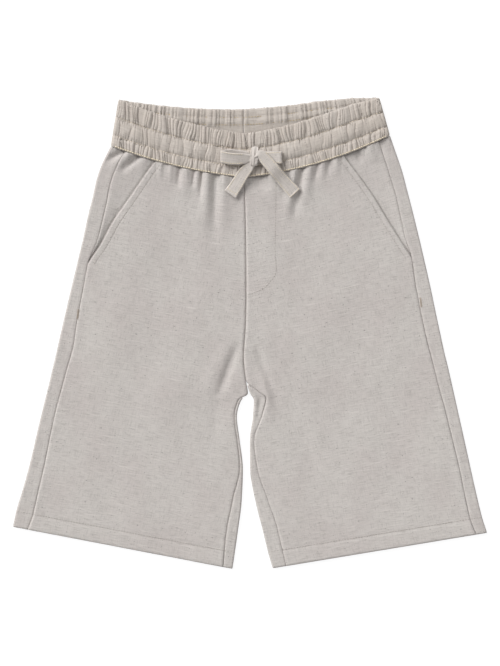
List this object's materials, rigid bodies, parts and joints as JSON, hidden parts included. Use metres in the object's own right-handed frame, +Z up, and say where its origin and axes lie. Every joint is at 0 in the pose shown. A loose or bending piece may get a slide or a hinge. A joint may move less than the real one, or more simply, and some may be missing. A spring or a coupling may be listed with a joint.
{
  "type": "drawstring shorts",
  "caption": "Child's knee-length pull-on shorts with a gathered elastic waistband, drawstring bow and slant pockets, laid flat.",
  "frame": {"origin": "on the resting surface, under the middle of the cloth's bounding box", "axes": "+Z up out of the laid garment, +Y towards the waist, +X towards the wearer's left side"},
  "size_m": [0.45, 0.4474, 0.0157],
  "materials": {
    "cloth": "matt heathered linen and cotton weave",
    "band": "matt gathered linen and cotton weave",
    "tie": "matt linen and cotton weave"
  },
  "bodies": {
    "root": {"front_right": "cloth", "front_left": "cloth", "back_right": "cloth", "back_left": "cloth", "pocket_facing_right": "cloth", "pocket_facing_left": "cloth", "waistband": "band", "drawstring_loop_right": "tie", "drawstring_loop_left": "tie", "drawstring_tail_right": "tie", "drawstring_tail_left": "tie", "drawstring_knot": "tie"}
  },
  "joints": []
}
